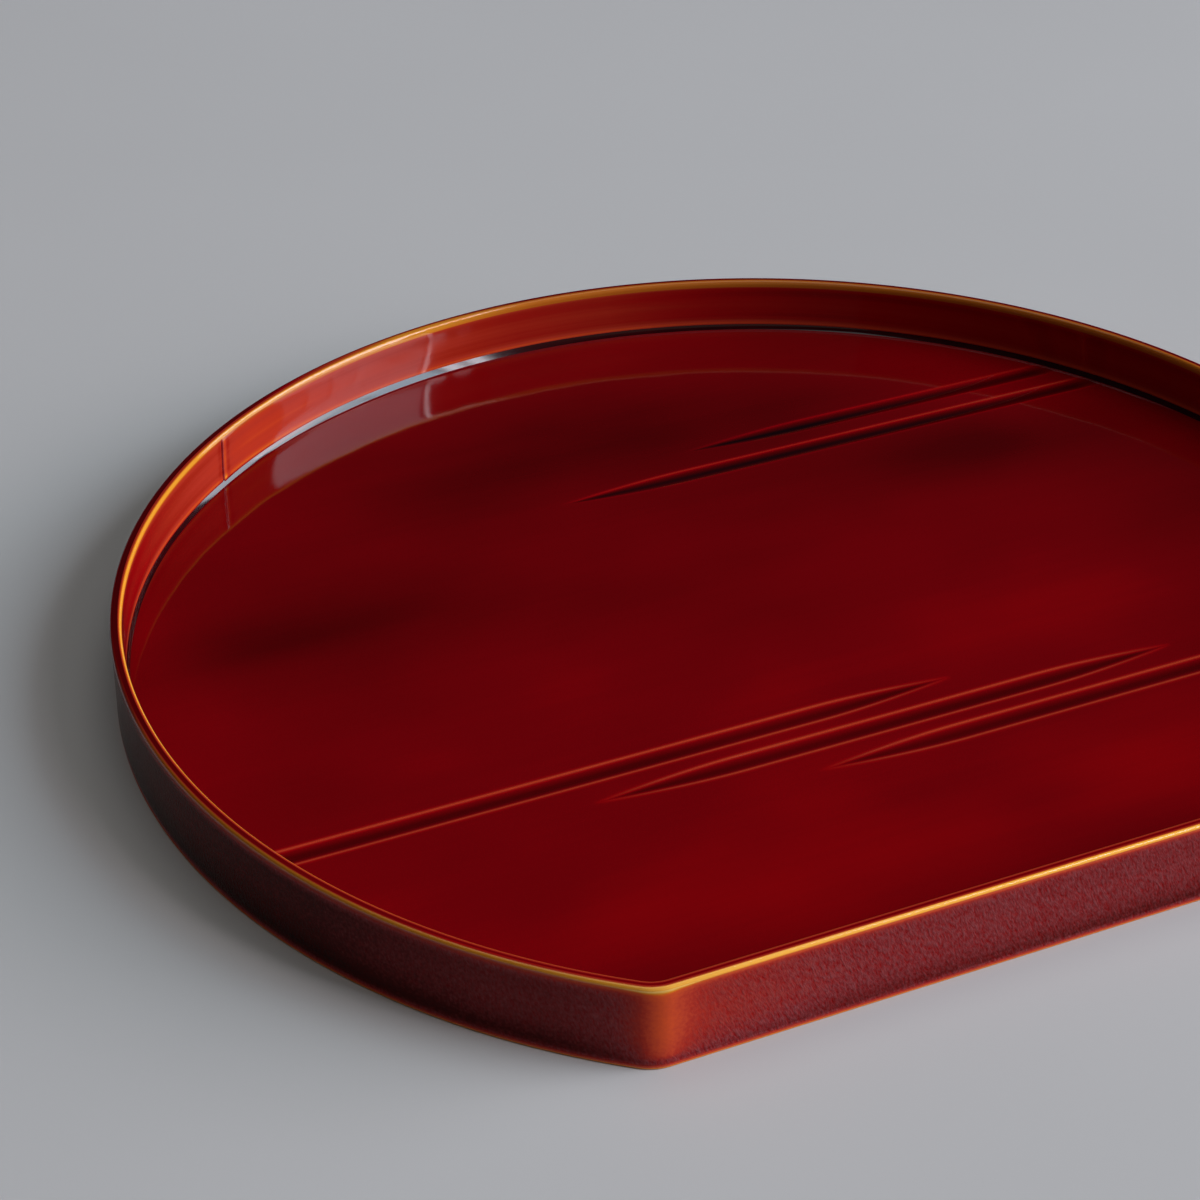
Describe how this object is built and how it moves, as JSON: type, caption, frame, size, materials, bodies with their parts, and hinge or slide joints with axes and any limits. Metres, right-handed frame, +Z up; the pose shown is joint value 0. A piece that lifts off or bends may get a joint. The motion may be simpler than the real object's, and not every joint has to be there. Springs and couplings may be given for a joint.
{
  "type": "serving tray",
  "caption": "Half-moon lacquered wood tray with a low bent hoop wall and shallow gouged strokes across its flat floor.",
  "frame": {"origin": "middle of the footprint, on the surface that the tray stands on", "axes": "+X along the straight side, +Y from the straight side to the round side, +Z up"},
  "size_m": [0.3598, 0.324, 0.0235],
  "materials": {
    "hoop_lacquer": "bent wood under translucent red-brown lacquer, polished, amber where it thins on the edges",
    "floor_lacquer": "planks under translucent deep red lacquer, polished to a mirror",
    "cove_lacquer": "wood-powder putty under pooled, almost black lacquer, polished",
    "under_lacquer": "dark brown-black lacquer, satin",
    "bamboo": "bare smoked bamboo, hidden in the planks"
  },
  "bodies": {
    "root": {"rim_hoop": "hoop_lacquer", "holding_strip": "under_lacquer", "cove_bead": "cove_lacquer", "floor_plank_1": "floor_lacquer", "floor_plank_2": "floor_lacquer", "floor_plank_3": "floor_lacquer", "floor_plank_4": "floor_lacquer", "plank_pin_1": "bamboo", "plank_pin_2": "bamboo", "plank_pin_3": "bamboo", "plank_pin_4": "bamboo", "plank_pin_5": "bamboo", "plank_pin_6": "bamboo", "plank_pin_7": "bamboo", "plank_pin_8": "bamboo", "plank_pin_9": "bamboo", "plank_pin_10": "bamboo", "plank_pin_11": "bamboo", "plank_pin_12": "bamboo", "hoop_peg_1": "bamboo", "hoop_peg_2": "bamboo", "hoop_peg_3": "bamboo", "hoop_peg_4": "bamboo", "hoop_peg_5": "bamboo", "hoop_peg_6": "bamboo", "hoop_peg_7": "bamboo", "hoop_peg_8": "bamboo", "hoop_peg_9": "bamboo", "hoop_peg_10": "bamboo", "hoop_peg_11": "bamboo", "hoop_peg_12": "bamboo", "hoop_peg_13": "bamboo", "hoop_peg_14": "bamboo"}
  },
  "joints": []
}
